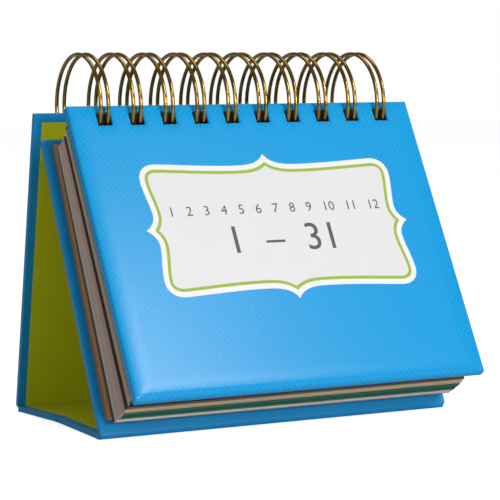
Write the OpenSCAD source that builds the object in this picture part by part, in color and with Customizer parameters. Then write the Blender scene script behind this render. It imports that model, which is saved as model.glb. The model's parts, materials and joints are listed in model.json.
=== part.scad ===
// Perpetual flip calendar: an easel stand of four wrapped boards, a twin loop wire,
// a padded cover and twelve months of leaves. Millimetres, +Z up, front towards -Y.
// The origin is on the table, in the middle of the strip that the stand's front edge rests on.

/* [Stand] */
// Width of the stand's four panels
board_w = 141; // [130:1:170]
// Height of the front and back panels, along their slope
board_h = 111; // [104:1:125]
// Lean of the front panel from upright, in degrees
front_lean = 25.2; // [22:0.1:28]
// Lean of the back panel from upright, in degrees
back_lean = 9.3; // [7:0.1:12]
// Gap between the two panels at the front panel's top edge
top_gap = 5.8; // [4:0.1:7]
// Height of the base's middle crease over the table
crease_rise = 1.1; // [0.5:0.1:2.5]

/* [Layers] */
// Thickness of the greyboard inside the panels and the cover
board_t = 1.6; // [1:0.1:2.2]
// Thickness of the printed wrapping paper
wrap_t = 0.25; // [0.15:0.05:0.4]
// Thickness of the lining paper
liner_t = 0.25; // [0.15:0.05:0.4]
// Width of the wrapping paper's margin round the lining
margin = 3; // [2:0.5:6]
// Width of the bare paper in the middle crease
crease_w = 1.2; // [0.8:0.1:2]
// Gap between a crease and the panel that turns away from it
crease_gap = 0.1; // [0.05:0.05:0.2]

/* [Wire] */
// Number of double loops
loops = 10; // [8:1:10]
// Distance from one double loop to the next
pitch = 12.7; // [11:0.1:12.7]
// Diameter of the wire
wire_d = 1.4; // [1:0.1:1.6]
// Radius of the loops, to the middle of the wire
ring_r = 18.5; // [17.5:0.1:19]
// Distance between the two wires of a double loop
wire_gap = 2.96; // [2.4:0.02:3.2]
// Bend radius of the wire between a loop and the spine
elbow_r = 1.2; // [1:0.1:1.5]
// Length of the cut wire at each end of the spine
spine_stub = 3; // [1:0.5:4]
// Distance of the loops' centre line in front of the front panel
ring_ahead = 4.4; // [4:0.1:6]
// Offset of the row of loops to the right of the stand's middle
ring_shift = 2.6; // [0:0.1:4]

/* [Holes] */
// Width of the punched holes
hole_w = 5.4; // [5:0.1:6]
// Clearance of the wire above and below it in the front panel's holes
panel_hole_clear = 1.3; // [0.8:0.1:1.6]
// Distance of the front panel's holes from its top edge
panel_hole_edge = 7; // [6:0.1:9]
// Width of the slots in the back panel
slot_w = 7; // [6:0.1:8]
// Distance of the slots' top end from the back panel's top edge
slot_edge = 4.6; // [2:0.1:5]
// Clearance of the wire in the lower end of a slot
slot_clear = 0.7; // [0.5:0.1:1.5]

/* [Leaves] */
// How much narrower than the cover the leaves are, on each side
leaf_inset = 3.2; // [2:0.1:6]
// Height of the leaves
page_h = 101.5; // [95:0.5:106]
// Thickness of one month of leaves
page_t = 1.15; // [0.9:0.05:1.25]
// Clearance between one month and the next, at the loops' centre line
page_clear = 0.05; // [0.02:0.01:0.15]
// Gap between the front panel and the last month
page_gap = 0.15; // [0.1:0.05:0.4]
// Clearance of the wire above and below it in the leaves' holes
page_hole_clear = 1; // [0.5:0.1:1.5]
// Distance of the holes in the leaves from their top edge
page_hole_edge = 4; // [3.5:0.1:6]
// Angle that the leaves fan out through, from the last month to the cover
fan = 3.7; // [2.5:0.1:5]
// Offset of the leaves to the right of the stand's middle
leaf_shift = 1.2; // [0:0.1:3]

/* [Cover] */
// Width of the cover
cover_w = 141; // [130:1:150]
// Height of the cover
cover_h = 110.6; // [104:0.1:116]
// Thickness of the foam pad under the cover's printed face
foam_t = 1.8; // [1:0.1:2]
// Radius of the pad's soft front edges
foam_r = 1.7; // [0.5:0.1:1.7]
// Gap between the first month and the cover
cover_gap = 0.5; // [0.3:0.1:1]
// Clearance of the wire above and below it in the cover's holes
cover_hole_clear = 0.3; // [0.2:0.1:0.8]
// Distance of the cover's holes from its top edge
cover_hole_edge = 6.5; // [6:0.1:8]
// Offset of the cover to the right of the stand's middle
cover_shift = 2.7; // [0:0.1:4]

/* [Hidden] */
$fn = 48;
MONTHS = ["january", "february", "march", "april", "may", "june",
          "july", "august", "september", "october", "november", "december"];

// Past both faces, so that a cut leaves no skin
over = 1;
greyboard = "#B4A78F";
stand_blue = "#1E86C8";
cover_blue = "#44A8E6";
lime = "#AEB512";
page_tints = ["#D9D5CC", "#C9B79A", "#8FAE9E", "#D6D2C8", "#C8BFAE", "#7FA596",
              "#DAD6CE", "#B9A58B", "#D3CEC4", "#C6786F", "#D8D4CA", "#C7B595"];

// The stand's profile: the panels' outer faces meet the table at the front and rear feet
panel_t = wrap_t + board_t + liner_t;
crease_t = wrap_t + liner_t;
front_top_y = board_h * sin(front_lean) + panel_t * cos(front_lean);
front_top_z = board_h * cos(front_lean) - panel_t * sin(front_lean);
base_depth = front_top_y + top_gap + front_top_z * tan(back_lean) + panel_t / cos(back_lean);
base_tilt = atan(2 * crease_rise / base_depth);
half_base = base_depth / 2 / cos(base_tilt);

// Distance from a foot to where two panels' inner faces meet, along either of them
function corner_length(angle) = panel_t / tan(angle / 2);
front_corner = corner_length(90 - front_lean - base_tilt);
rear_corner = corner_length(90 - back_lean - base_tilt);
front_y = -front_corner / 2;
rear_y = front_y + base_depth;

// The loops' centre line, above the front panel's holes
panel_b = ring_ahead + panel_t / 2;
ring_s = board_h - panel_hole_edge + sqrt(ring_r * ring_r - panel_b * panel_b);
ring_y = front_y + ring_s * sin(front_lean) - ring_ahead * cos(front_lean);
ring_z = ring_s * cos(front_lean) + ring_ahead * sin(front_lean);
tip_angle = -73;
spine_angle = 275;
// The wire is a touch thicker at its tight bends
bend_d = wire_d + 0.04;
bend_grip = 0.3;

// How far under the centre line the wire's inner and outer sides cross a plane at distance b
function inner_drop(b) = sqrt(pow(ring_r - wire_d / 2, 2) - b * b);
function outer_drop(b) = sqrt(pow(ring_r + wire_d / 2, 2) - b * b);
// Lower and upper end of a hole through a sheet whose faces lie at distances b0 and b1
function hole_low(b0, b1, clear) = -clear - outer_drop(b0 * b1 < 0 ? 0 : min(abs(b0), abs(b1)));
function hole_high(b0, b1, clear) = clear - inner_drop(max(abs(b0), abs(b1)));

panel_hole_low = ring_s + hole_low(ring_ahead, ring_ahead + panel_t, panel_hole_clear);
panel_hole_high = ring_s + hole_high(ring_ahead, ring_ahead + panel_t, panel_hole_clear);

// The slots' lower end is under the wire, their upper end near the back panel's top edge
slot_axis_s = (rear_y - ring_y) * sin(back_lean) + ring_z * cos(back_lean);
slot_axis_b = (rear_y - ring_y) * cos(back_lean) - ring_z * sin(back_lean);
slot_low = slot_axis_s + hole_low(slot_axis_b - panel_t, slot_axis_b, slot_clear);
slot_high = board_h - slot_edge;

// The leaves: width, distance behind the loops' centre line, and lean
months = len(MONTHS);
page_w = cover_w - 2 * leaf_inset;
page_pitch = page_t + page_clear;
last_b = ring_ahead - page_gap - page_t / 2;
foam_back = wrap_t + foam_t;
board_back = foam_back + board_t;
cover_t = board_back + liner_t;
cover_b = last_b - (months - 1) * page_pitch - page_t / 2 - cover_gap - cover_t;
cover_lean = front_lean + fan;
cover_hole_low = hole_low(cover_b, cover_b + cover_t, cover_hole_clear);
cover_hole_high = hole_high(cover_b, cover_b + cover_t, cover_hole_clear);
cover_top = (cover_hole_low + cover_hole_high) / 2 + cover_hole_edge;
// Number of flats round a soft edge of the cover
soft_steps = 6;

function loop_x(i) = ring_shift + (i - (loops - 1) / 2) * pitch;

// Frames: x across, y from a panel's outer face inwards, z along it from its foot
module on_front_panel() {
    translate([0, front_y, 0]) rotate([-front_lean, 0, 0]) children();
}
module on_base_front() {
    translate([0, front_y, 0]) rotate([90 + base_tilt, 0, 0]) mirror([0, 0, 1]) children();
}
module on_base_rear() {
    translate([0, rear_y, 0]) rotate([90 - base_tilt, 0, 0]) children();
}
module on_back_panel() {
    translate([0, rear_y, 0]) rotate([back_lean, 0, 0]) mirror([0, 1, 0]) children();
}
// The frame of a leaf: y backwards and z up the leaf, from the loops' centre line
module on_leaf(lean, b) {
    translate([0, ring_y, ring_z]) rotate([-lean, 0, 0]) translate([0, b, 0]) children();
}

// A block that is centred on x
module slab(w, y0, y1, z0, z1) {
    translate([-w / 2, y0, z0]) cube([w, y1 - y0, z1 - z0]);
}
// The row of holes for the loops, through y0 to y1 and from z0 to z1
module hole_row(w, y0, y1, z0, z1) {
    for (i = [0 : loops - 1])
        translate([loop_x(i), 0, 0]) slab(w, y0 - over, y1 + over, z0, z1);
}
module front_holes() {
    hole_row(hole_w, 0, panel_t, panel_hole_low, panel_hole_high);
}
module back_slots() {
    hole_row(slot_w, 0, panel_t, slot_low, slot_high);
}

// The three layers of a panel from z0 to z1, whose far end is an edge or a crease
module panel_board(z0, z1, free_end) {
    end = free_end ? z1 - wrap_t : z1;
    slab(board_w - 2 * wrap_t, wrap_t, wrap_t + board_t, z0, end);
}
module panel_liner(z0, z1, free_end) {
    end = free_end ? z1 - margin : z1;
    slab(board_w - 2 * margin, wrap_t + board_t, panel_t, z0, end);
}
module panel_wrap(z0, z1, free_end) {
    board_end = free_end ? z1 - wrap_t : z1 + over;
    liner_end = free_end ? z1 - margin : z1 + over;
    difference() {
        slab(board_w, 0, panel_t, z0, z1);
        slab(board_w - 2 * wrap_t, wrap_t, wrap_t + board_t, z0 - over, board_end);
        slab(board_w - 2 * margin, wrap_t + board_t, panel_t + over, z0 - over, liner_end);
    }
}

module front_panel_board() {
    color(greyboard) on_front_panel() difference() {
        panel_board(front_corner, board_h, true);
        front_holes();
    }
}
module front_panel_wrap() {
    color(stand_blue) on_front_panel() difference() {
        panel_wrap(front_corner, board_h, true);
        front_holes();
    }
}
module front_panel_liner() {
    color(lime) on_front_panel() difference() {
        panel_liner(front_corner, board_h, true);
        front_holes();
    }
}
module base_front_board() {
    color(greyboard) on_base_front() panel_board(front_corner, half_base - crease_w / 2, false);
}
module base_front_wrap() {
    color(stand_blue) on_base_front() panel_wrap(front_corner, half_base - crease_w / 2, false);
}
module base_front_liner() {
    color(lime) on_base_front() panel_liner(front_corner, half_base - crease_w / 2, false);
}
module base_rear_board() {
    color(greyboard) on_base_rear() panel_board(rear_corner, half_base - crease_w / 2, false);
}
module base_rear_wrap() {
    color(stand_blue) on_base_rear() panel_wrap(rear_corner, half_base - crease_w / 2, false);
}
module base_rear_liner() {
    color(lime) on_base_rear() panel_liner(rear_corner, half_base - crease_w / 2, false);
}
module back_panel_board() {
    color(greyboard) on_back_panel() difference() {
        panel_board(rear_corner, board_h, true);
        back_slots();
    }
}
module back_panel_wrap() {
    color(stand_blue) on_back_panel() difference() {
        panel_wrap(rear_corner, board_h, true);
        back_slots();
    }
}
module back_panel_liner() {
    color(lime) on_back_panel() difference() {
        panel_liner(rear_corner, board_h, true);
        back_slots();
    }
}

// A crease at a foot: wrap and lining bent from the end of a panel to the base, flat below.
// The profile's first axis runs from the foot under the base, its second one upwards.
module foot_crease(lean, corner) {
    end = corner * cos(base_tilt) - crease_gap;
    panel_end = corner * [sin(lean), cos(lean)];
    rotate([90, 0, 90]) linear_extrude(board_w, center = true) polygon([
        [0, 0],
        [end, 0],
        [end, crease_t],
        crease_t * [(1 + sin(lean)) / cos(lean), 1],
        panel_end + crease_t * [cos(lean), -sin(lean)],
        panel_end]);
}
module front_crease() {
    color(stand_blue) translate([0, front_y, 0]) foot_crease(front_lean, front_corner);
}
module rear_crease() {
    color(stand_blue) translate([0, rear_y, 0]) mirror([0, 1, 0]) foot_crease(back_lean, rear_corner);
}
// The bare paper between the two halves of the base
module middle_crease() {
    color(stand_blue) on_base_front()
        slab(board_w, 0, crease_t, half_base - crease_w / 2, half_base + crease_w / 2 - crease_gap);
}

// A stretch of wire bent round z, from angle a to angle b
module bent_wire(d, r, a, b) {
    rotate([0, 0, a]) rotate_extrude(angle = b - a) translate([r, 0]) circle(d = d);
}
// A straight stretch of wire along x
module straight_wire(d, x0, x1) {
    translate([x0, 0, 0]) rotate([0, 90, 0]) cylinder(d = d, h = x1 - x0);
}
// A tight bend, which grips the ends of the stretches that it joins
module tight_bend(r, a, b) {
    bent_wire(bend_d, r, a, b);
    rotate([0, 0, a]) translate([r, 0, 0]) rotate([0, 0, 90]) straight_wire(bend_d, -bend_grip, 0);
    rotate([0, 0, b]) translate([r, 0, 0]) rotate([0, 0, 90]) straight_wire(bend_d, 0, bend_grip);
}
// A point of the ring: y outwards and z along the loop, with the wire in the x-z plane
module on_ring(angle) {
    translate([0, ring_y, ring_z]) rotate([angle, 0, 0]) translate([0, ring_r, 0]) children();
}
module double_loop() {
    for (side = [-1, 1])
        translate([side * wire_gap / 2, ring_y, ring_z]) rotate([90, 0, 90])
            bent_wire(wire_d, ring_r, tip_angle, spine_angle);
    on_ring(tip_angle) rotate([90, 0, 0]) tight_bend(wire_gap / 2, 180, 360);
    on_ring(spine_angle) rotate([90, 0, 0]) {
        translate([wire_gap / 2 + elbow_r, 0, 0]) tight_bend(elbow_r, 90, 180);
        translate([-wire_gap / 2 - elbow_r, 0, 0]) tight_bend(elbow_r, 0, 90);
    }
}
// One double loop of the wire, with half of the spine on either side of it
module wire_loop(i) {
    reach = wire_gap / 2 + elbow_r;
    left = i == 0 ? reach + spine_stub : pitch / 2;
    right = i == loops - 1 ? reach + spine_stub : pitch / 2;
    color("#9A6A20") translate([loop_x(i), 0, 0]) {
        double_loop();
        on_ring(spine_angle) translate([0, 0, elbow_r]) {
            straight_wire(wire_d, -left, -reach);
            straight_wire(wire_d, reach, right);
        }
    }
}

// One month of leaves, counted from the cover
module pages(month) {
    steps_from_last = months - 1 - month;
    b = last_b - steps_from_last * page_pitch;
    lean = front_lean + fan * steps_from_last / months;
    low = hole_low(b - page_t / 2, b + page_t / 2, page_hole_clear);
    high = hole_high(b - page_t / 2, b + page_t / 2, page_hole_clear);
    top = (low + high) / 2 + page_hole_edge;
    color(page_tints[month]) on_leaf(lean, b) difference() {
        translate([leaf_shift, 0, 0]) slab(page_w, -page_t / 2, page_t / 2, top - page_h, top);
        hole_row(hole_w, -page_t / 2, page_t / 2, low, high);
    }
}

// A rectangle from (0, 0) with round corners on its lower long side
module soft_profile(w, h, r) {
    function corner(x, a, b) =
        [for (i = [0 : soft_steps]) let (t = a + (b - a) * i / soft_steps) [x + r * cos(t), r + r * sin(t)]];
    polygon(concat([[w, h], [0, h]], corner(r, 180, 270), corner(w - r, 270, 360)));
}
// The padded body of the cover, set in by some distance on its front and sides
module cover_pad(inset, back) {
    r = foam_r + wrap_t - inset;
    intersection() {
        translate([inset - cover_w / 2, inset, cover_top - cover_h])
            linear_extrude(cover_h) soft_profile(cover_w - 2 * inset, back - inset, r);
        translate([-cover_w / 2, inset, cover_top - inset]) rotate([0, 90, 0])
            linear_extrude(cover_w) soft_profile(cover_h - 2 * inset, back - inset, r);
    }
}
module cover_slab(inset, y0, y1) {
    slab(cover_w - 2 * inset, y0, y1, cover_top - cover_h + inset, cover_top - inset);
}
module on_cover() {
    on_leaf(cover_lean, cover_b) children();
}
module cover_holes() {
    hole_row(hole_w, 0, cover_t, cover_hole_low, cover_hole_high);
}
module cover_layer() {
    on_cover() difference() {
        translate([cover_shift, 0, 0]) children();
        cover_holes();
    }
}
module cover_board() {
    color(greyboard) cover_layer() cover_slab(wrap_t, foam_back, board_back);
}
module cover_foam() {
    color("#F1EDE4") cover_layer() cover_pad(wrap_t, foam_back);
}
module cover_wrap() {
    color(cover_blue) cover_layer() difference() {
        cover_pad(0, cover_t);
        cover_pad(wrap_t, board_back);
        cover_slab(margin, foam_back, cover_t + over);
    }
}
module cover_liner() {
    color(lime) cover_layer() cover_slab(margin, board_back, cover_t);
}

front_panel_board();
front_panel_wrap();
front_panel_liner();
front_crease();
base_front_board();
base_front_wrap();
base_front_liner();
middle_crease();
base_rear_board();
base_rear_wrap();
base_rear_liner();
rear_crease();
back_panel_board();
back_panel_wrap();
back_panel_liner();
cover_board();
cover_foam();
cover_wrap();
cover_liner();
for (i = [0 : loops - 1])
    wire_loop(i);
for (i = [0 : months - 1])
    pages(i);
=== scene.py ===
import json
import math
from functools import partial

import bmesh
import bpy
from mathutils import Matrix, Vector
from mathutils.geometry import interpolate_bezier


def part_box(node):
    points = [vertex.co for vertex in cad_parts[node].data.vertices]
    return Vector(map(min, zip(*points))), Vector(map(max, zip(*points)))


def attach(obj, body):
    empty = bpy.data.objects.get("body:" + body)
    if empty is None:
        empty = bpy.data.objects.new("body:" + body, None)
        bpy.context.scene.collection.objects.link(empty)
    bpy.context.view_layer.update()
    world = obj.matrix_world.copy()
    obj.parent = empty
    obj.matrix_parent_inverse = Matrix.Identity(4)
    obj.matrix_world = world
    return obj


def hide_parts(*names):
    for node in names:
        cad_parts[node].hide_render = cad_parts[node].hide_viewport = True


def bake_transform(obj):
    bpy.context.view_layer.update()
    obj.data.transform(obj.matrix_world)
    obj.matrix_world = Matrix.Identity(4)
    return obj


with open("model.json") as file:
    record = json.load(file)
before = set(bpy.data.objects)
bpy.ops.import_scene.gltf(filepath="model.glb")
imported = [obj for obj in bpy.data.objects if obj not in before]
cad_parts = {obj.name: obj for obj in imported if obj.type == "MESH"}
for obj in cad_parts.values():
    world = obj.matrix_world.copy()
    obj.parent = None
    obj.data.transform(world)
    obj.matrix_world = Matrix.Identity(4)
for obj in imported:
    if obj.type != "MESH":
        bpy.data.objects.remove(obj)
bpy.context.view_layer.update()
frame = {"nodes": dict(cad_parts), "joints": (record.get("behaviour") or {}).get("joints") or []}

# Greyboards: the four stiff boards of the easel and the one in the cover.
# Grey pulp board 1.6 mm thick, guillotined to size, with the holes for the wire punched through.
# They are wrapped all round, so they show only in the walls of the holes.
MM = 0.001


def linear(code):
    """A linear colour with alpha from an sRGB hex code."""
    parts = [int(code[i : i + 2], 16) / 255 for i in (1, 3, 5)]
    return (*[c / 12.92 if c <= 0.04045 else ((c + 0.055) / 1.055) ** 2.4 for c in parts], 1.0)


def add(tree, kind, inputs=None, **settings):
    """A new node with its settings, whose inputs are values or other nodes' outputs."""
    made = tree.nodes.new(kind)
    for key, value in settings.items():
        setattr(made, key, value)
    for key, value in (inputs or {}).items():
        if isinstance(value, bpy.types.NodeSocket):
            tree.links.new(value, made.inputs[key])
        else:
            made.inputs[key].default_value = value
    return made


def new_material(name, **sockets):
    """A material with one shader, and that shader's sockets set to plain values."""
    material = bpy.data.materials.new(name)
    material.use_nodes = True
    shader = material.node_tree.nodes["Principled BSDF"]
    for key, value in sockets.items():
        shader.inputs[key.replace("_", " ")].default_value = value
    return material, material.node_tree, shader


def pulp_board(name, colour, fleck):
    """Grey pulp board, calendered: dull, with flecks of the waste paper that it is made from."""
    fleck_mm = 1.4
    material, tree, shader = new_material(name, Roughness=0.9)
    place = add(tree, "ShaderNodeTexCoord").outputs["Object"]
    flecks = add(tree, "ShaderNodeTexNoise", {"Vector": place, "Scale": 1 / (fleck_mm * MM), "Detail": 4.0})
    tone = add(tree, "ShaderNodeMix", {0: flecks.outputs[0], 6: linear(colour), 7: linear(fleck)},
               data_type="RGBA")
    dents = add(tree, "ShaderNodeBump", {"Height": flecks.outputs[0], "Strength": 0.3, "Distance": 0.05 * MM})
    tree.links.new(tone.outputs[2], shader.inputs["Base Color"])
    tree.links.new(dents.outputs[0], shader.inputs["Normal"])
    return material


greyboard = pulp_board("grey_pulp_board", "#8C8373", "#B9AE9A")
for name in ("front_panel", "base_front", "base_rear", "back_panel", "cover"):
    board = frame["nodes"][name + "_board"]
    board.data.materials.clear()
    board.data.materials.append(greyboard)

# Wrapped panels: each board is covered outside with blue laminated paper, whose edges are turned in.
# The turned-in margin shows as a blue border round the lining on the inner side.
# Folding and gluing leaves soft edges and corners.
board_w = 141.0
board_h = 111.0
panel_t = 2.1
turn_in_drop = 0.12
front_lean = math.radians(25.2)
back_lean = math.radians(9.3)
front_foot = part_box("front_crease")[0].y / MM
rear_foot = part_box("rear_crease")[1].y / MM
axes = {joint["name"]: Vector(joint["pos_m"]) / MM for joint in frame["joints"]}
base_tilt = math.atan2(axes["base_fold"].z, axes["base_fold"].y - front_foot)
half_base = math.hypot(axes["base_fold"].z, axes["base_fold"].y - front_foot)
crease_w = 1.2
front_corner = panel_t / math.tan((math.pi / 2 - front_lean - base_tilt) / 2)
rear_corner = panel_t / math.tan((math.pi / 2 - back_lean - base_tilt) / 2)
loop_pitch = (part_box("wire_loop_3")[0].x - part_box("wire_loop_2")[0].x) / MM
first_loop = sum(corner.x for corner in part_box("wire_loop_2")) / 2 / MM - loop_pitch
loop_count = 10
loop_xs = [first_loop + i * loop_pitch for i in range(loop_count)]


def panel_frame(foot_y, along, inward):
    """From a panel's own millimetres (across, inwards, along from its foot) to the part's frame in metres."""
    turn = Matrix(((1, 0, 0), (0, inward[0], along[0]), (0, inward[1], along[1]))).to_4x4()
    return Matrix.Scale(MM, 4) @ Matrix.Translation((0, foot_y, 0)) @ turn


on_front = panel_frame(front_foot, (math.sin(front_lean), math.cos(front_lean)),
                       (math.cos(front_lean), -math.sin(front_lean)))
on_base_front = panel_frame(front_foot, (math.cos(base_tilt), math.sin(base_tilt)),
                            (-math.sin(base_tilt), math.cos(base_tilt)))
on_base_rear = panel_frame(rear_foot, (-math.cos(base_tilt), math.sin(base_tilt)),
                           (math.sin(base_tilt), math.cos(base_tilt)))
on_back = panel_frame(rear_foot, (-math.sin(back_lean), math.cos(back_lean)),
                      (-math.cos(back_lean), -math.sin(back_lean)))


def lines(low, high, near_ends, step, cuts=()):
    """Grid lines from low to high: close together near the ends, on every cut, and step apart between."""
    least_gap = step / 3
    found = {low, high, *cuts}
    found |= {low + d for d in near_ends} | {high - d for d in near_ends}
    count = max(1, round((high - low) / step))
    plain = [low + (high - low) * i / count for i in range(1, count)]
    found |= {x for x in plain if min(abs(x - other) for other in found) > least_gap}
    return sorted(found)


def rounded(x, z, box, low_r, high_r):
    """A point of a box moved so that the box's lower and upper corners are round."""
    x0, x1, z0, z1 = box
    r = low_r if z < (z0 + z1) / 2 else high_r
    u = max(0, x - x1 + r) - max(0, x0 + r - x)
    v = max(0, z - z1 + r) - max(0, z0 + r - z)
    if not (u and v):
        return x, z
    return (x - u + u * math.sqrt(1 - (v / r) ** 2 / 2), z - v + v * math.sqrt(1 - (u / r) ** 2 / 2))


def punched_sheet(xs, zs, holes, front, back):
    """A closed bmesh sheet on the lines xs and zs, open in its holes, between front(x, z) and back(x, z).

    The walls of the holes take the second material.
    """
    mesh = bmesh.new()
    rows = [[(mesh.verts.new(front(x, z)), mesh.verts.new(back(x, z))) for x in xs] for z in zs]

    def solid(i, j):
        """Whether the sheet has a face between these lines and the next ones."""
        if not (0 <= i < len(xs) - 1 and 0 <= j < len(zs) - 1):
            return False
        x, z = (xs[i] + xs[i + 1]) / 2, (zs[j] + zs[j + 1]) / 2
        return not any(x0 < x < x1 and z0 < z < z1 for x0, x1, z0, z1 in holes)

    for j in range(len(zs) - 1):
        for i in range(len(xs) - 1):
            if not solid(i, j):
                continue
            ring = [rows[j][i], rows[j][i + 1], rows[j + 1][i + 1], rows[j + 1][i]]
            mesh.faces.new([pair[0] for pair in ring])
            mesh.faces.new([pair[1] for pair in reversed(ring)])
            for k, (di, dj) in enumerate(((0, -1), (1, 0), (0, 1), (-1, 0))):
                if not solid(i + di, j + dj):
                    a, b = ring[k], ring[(k + 1) % 4]
                    wall = mesh.faces.new((b[0], a[0], a[1], b[1]))
                    in_hole = 0 <= i + di < len(xs) - 1 and 0 <= j + dj < len(zs) - 1
                    wall.material_index = 1 if in_hole else 0
    bmesh.ops.delete(mesh, geom=[v for v in mesh.verts if not v.link_faces], context="VERTS")
    bmesh.ops.recalc_face_normals(mesh, faces=mesh.faces)
    mesh.normal_update()
    return mesh


def soften(mesh, radius):
    """Rounds the sharp edges of a bmesh."""
    sharp_angle = math.radians(40)
    sharp = [e for e in mesh.edges if len(e.link_faces) == 2 and e.calc_face_angle() > sharp_angle]
    bmesh.ops.bevel(mesh, geom=sharp, offset=radius, segments=3, profile=0.5, affect="EDGES",
                    clamp_overlap=True)


def finished(name, mesh, place, *materials):
    """An object at the origin from a bmesh in millimetres, moved to its place and shaded smooth."""
    smooth_angle = math.radians(35)
    bmesh.ops.transform(mesh, matrix=place, verts=mesh.verts)
    bmesh.ops.recalc_face_normals(mesh, faces=mesh.faces)
    data = bpy.data.meshes.new(name)
    mesh.to_mesh(data)
    mesh.free()
    data.shade_smooth()
    data.set_sharp_from_angle(angle=smooth_angle)
    for material in materials:
        data.materials.append(material)
    made = bpy.data.objects.new(name, data)
    bpy.context.scene.collection.objects.link(made)
    return made


def laminated_paper(name, colour, mottle):
    """Printed paper under a satin film: even ink, a soft broad gloss and the faint grain of the paper."""
    grain_mm, cloud_mm = 0.45, 14
    material, tree, shader = new_material(name, Roughness=0.42, IOR=1.45, Coat_Weight=0.05,
                                          Coat_Roughness=0.3)
    place = add(tree, "ShaderNodeTexCoord").outputs["Object"]
    grain = add(tree, "ShaderNodeTexNoise", {"Vector": place, "Scale": 1 / (grain_mm * MM), "Detail": 3.0})
    cloud = add(tree, "ShaderNodeTexNoise", {"Vector": place, "Scale": 1 / (cloud_mm * MM), "Detail": 2.0})
    tone = add(tree, "ShaderNodeMix", {0: cloud.outputs[0], 6: linear(colour), 7: linear(mottle)},
               data_type="RGBA")
    dents = add(tree, "ShaderNodeBump", {"Height": grain.outputs[0], "Strength": 0.25, "Distance": 0.02 * MM})
    tree.links.new(tone.outputs[2], shader.inputs["Base Color"])
    tree.links.new(dents.outputs[0], shader.inputs["Normal"])
    return material


blue_paper = laminated_paper("blue_laminated_paper", "#0C98DE", "#14A0E4")
edge_r = 0.3
corner_r = 0.5
corner_lines = (0.1, 0.2, 0.35, 0.5)
across_step = 40
along_step = 30
punch_ease = 0.06
ring_axis = axes["cover_turn"]
ring_r = 18.5
wire_d = 1.4
hole_w = 5.4
slot_w = 7.0
slot_edge = 4.6
front_hole_clear = 1.3
slot_clear = 0.7


def wire_cross(start, end, clear):
    """Lower and upper end, from the loops' centre line, of a hole that the wire passes between two depths."""
    near = 0 if start * end < 0 else min(abs(start), abs(end))
    far = max(abs(start), abs(end))
    return (-clear - math.sqrt((ring_r + wire_d / 2) ** 2 - near**2),
            clear - math.sqrt((ring_r - wire_d / 2) ** 2 - far**2))


def row_of_holes(width, low, high):
    """One hole for each loop, as (left, right, low, high)."""
    return [(x - width / 2, x + width / 2, low, high) for x in loop_xs]


ring_on_front = on_front.inverted() @ (ring_axis * MM)
ring_on_back = on_back.inverted() @ (ring_axis * MM)
ring_ahead = -ring_on_front.y
front_cross = wire_cross(ring_ahead, ring_ahead + panel_t, front_hole_clear)
back_cross = wire_cross(ring_on_back.y - panel_t, ring_on_back.y, slot_clear)
front_holes = row_of_holes(hole_w, *(ring_on_front.z + z for z in front_cross))
back_slots = row_of_holes(slot_w, ring_on_back.z + back_cross[0], board_h - slot_edge)


def eased(holes):
    """The same holes a little larger, so that the paper's walls don't lie in the board's."""
    return [(x0 - punch_ease, x1 + punch_ease, z0 - punch_ease, z1 + punch_ease) for x0, x1, z0, z1 in holes]


def flat_layer(name, place, box, depths, holes, radius, far_r, material):
    """A flat layer of a panel between two depths, with soft edges and round corners at its far end."""
    xs = lines(box[0], box[1], corner_lines, across_step, [x for hole in holes for x in hole[:2]])
    zs = lines(box[2], box[3], corner_lines, along_step, [z for hole in holes[:1] for z in hole[2:]])

    def point(x, z, depth):
        """A point of the layer's front or back."""
        x, z = rounded(x, z, box, 0, far_r) if far_r else (x, z)
        return (x, depth, z)

    front, back = (partial(point, depth=depth) for depth in depths)
    mesh = punched_sheet(xs, zs, holes, front, back)
    soften(mesh, radius)
    return finished(name, mesh, place, material)


half_w = board_w / 2
free_end = half_base - crease_w / 2
panels = (
    ("front_panel", on_front, front_corner, board_h, front_holes, corner_r),
    ("base_front", on_base_front, front_corner, free_end, [], 0),
    ("base_rear", on_base_rear, rear_corner, free_end, [], 0),
    ("back_panel", on_back, rear_corner, board_h, back_slots, corner_r),
)
for name, place, start, end, holes, far_r in panels:
    box = (-half_w, half_w, start, end)
    depths = (0, panel_t - turn_in_drop)
    wrap = flat_layer(name + "_paper", place, box, depths, eased(holes), edge_r, far_r, blue_paper)
    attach(wrap, name)
    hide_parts(name + "_wrap")

# Linings: lime green paper glued over the inner side of each panel, a few millimetres short of its edges.
# Uncoated and dull, so it has no gloss. It lies on the turned-in margin of the blue paper.
margin = 3.0
lining_t = 0.25
lining_edge = 0.05


def dull_paper(name, colour, mottle):
    """Dyed uncoated paper: dull, with a fibre grain drawn coarser than the real 0.1 mm, so that it shows."""
    fibre_mm, cloud_mm = 0.5, 9
    material, tree, shader = new_material(name, Roughness=0.78, IOR=1.45)
    place = add(tree, "ShaderNodeTexCoord").outputs["Object"]
    fibre = add(tree, "ShaderNodeTexNoise", {"Vector": place, "Scale": 1 / (fibre_mm * MM), "Detail": 4.0})
    cloud = add(tree, "ShaderNodeTexNoise", {"Vector": place, "Scale": 1 / (cloud_mm * MM), "Detail": 3.0})
    tone = add(tree, "ShaderNodeMix", {0: cloud.outputs[0], 6: linear(colour), 7: linear(mottle)},
               data_type="RGBA")
    dents = add(tree, "ShaderNodeBump", {"Height": fibre.outputs[0], "Strength": 0.3, "Distance": 0.03 * MM})
    tree.links.new(tone.outputs[2], shader.inputs["Base Color"])
    tree.links.new(dents.outputs[0], shader.inputs["Normal"])
    return material


lime_paper = dull_paper("lime_uncoated_paper", "#D9DC06", "#D0D306")
for name, place, start, end, holes, far_r in panels:
    top = end - margin if far_r else end
    box = (margin - half_w, half_w - margin, start, top)
    depths = (panel_t - lining_t, panel_t)
    lining = flat_layer(name + "_lining", place, box, depths, eased(holes), lining_edge, 0, lime_paper)
    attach(lining, name)
    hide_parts(name + "_liner")

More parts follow.
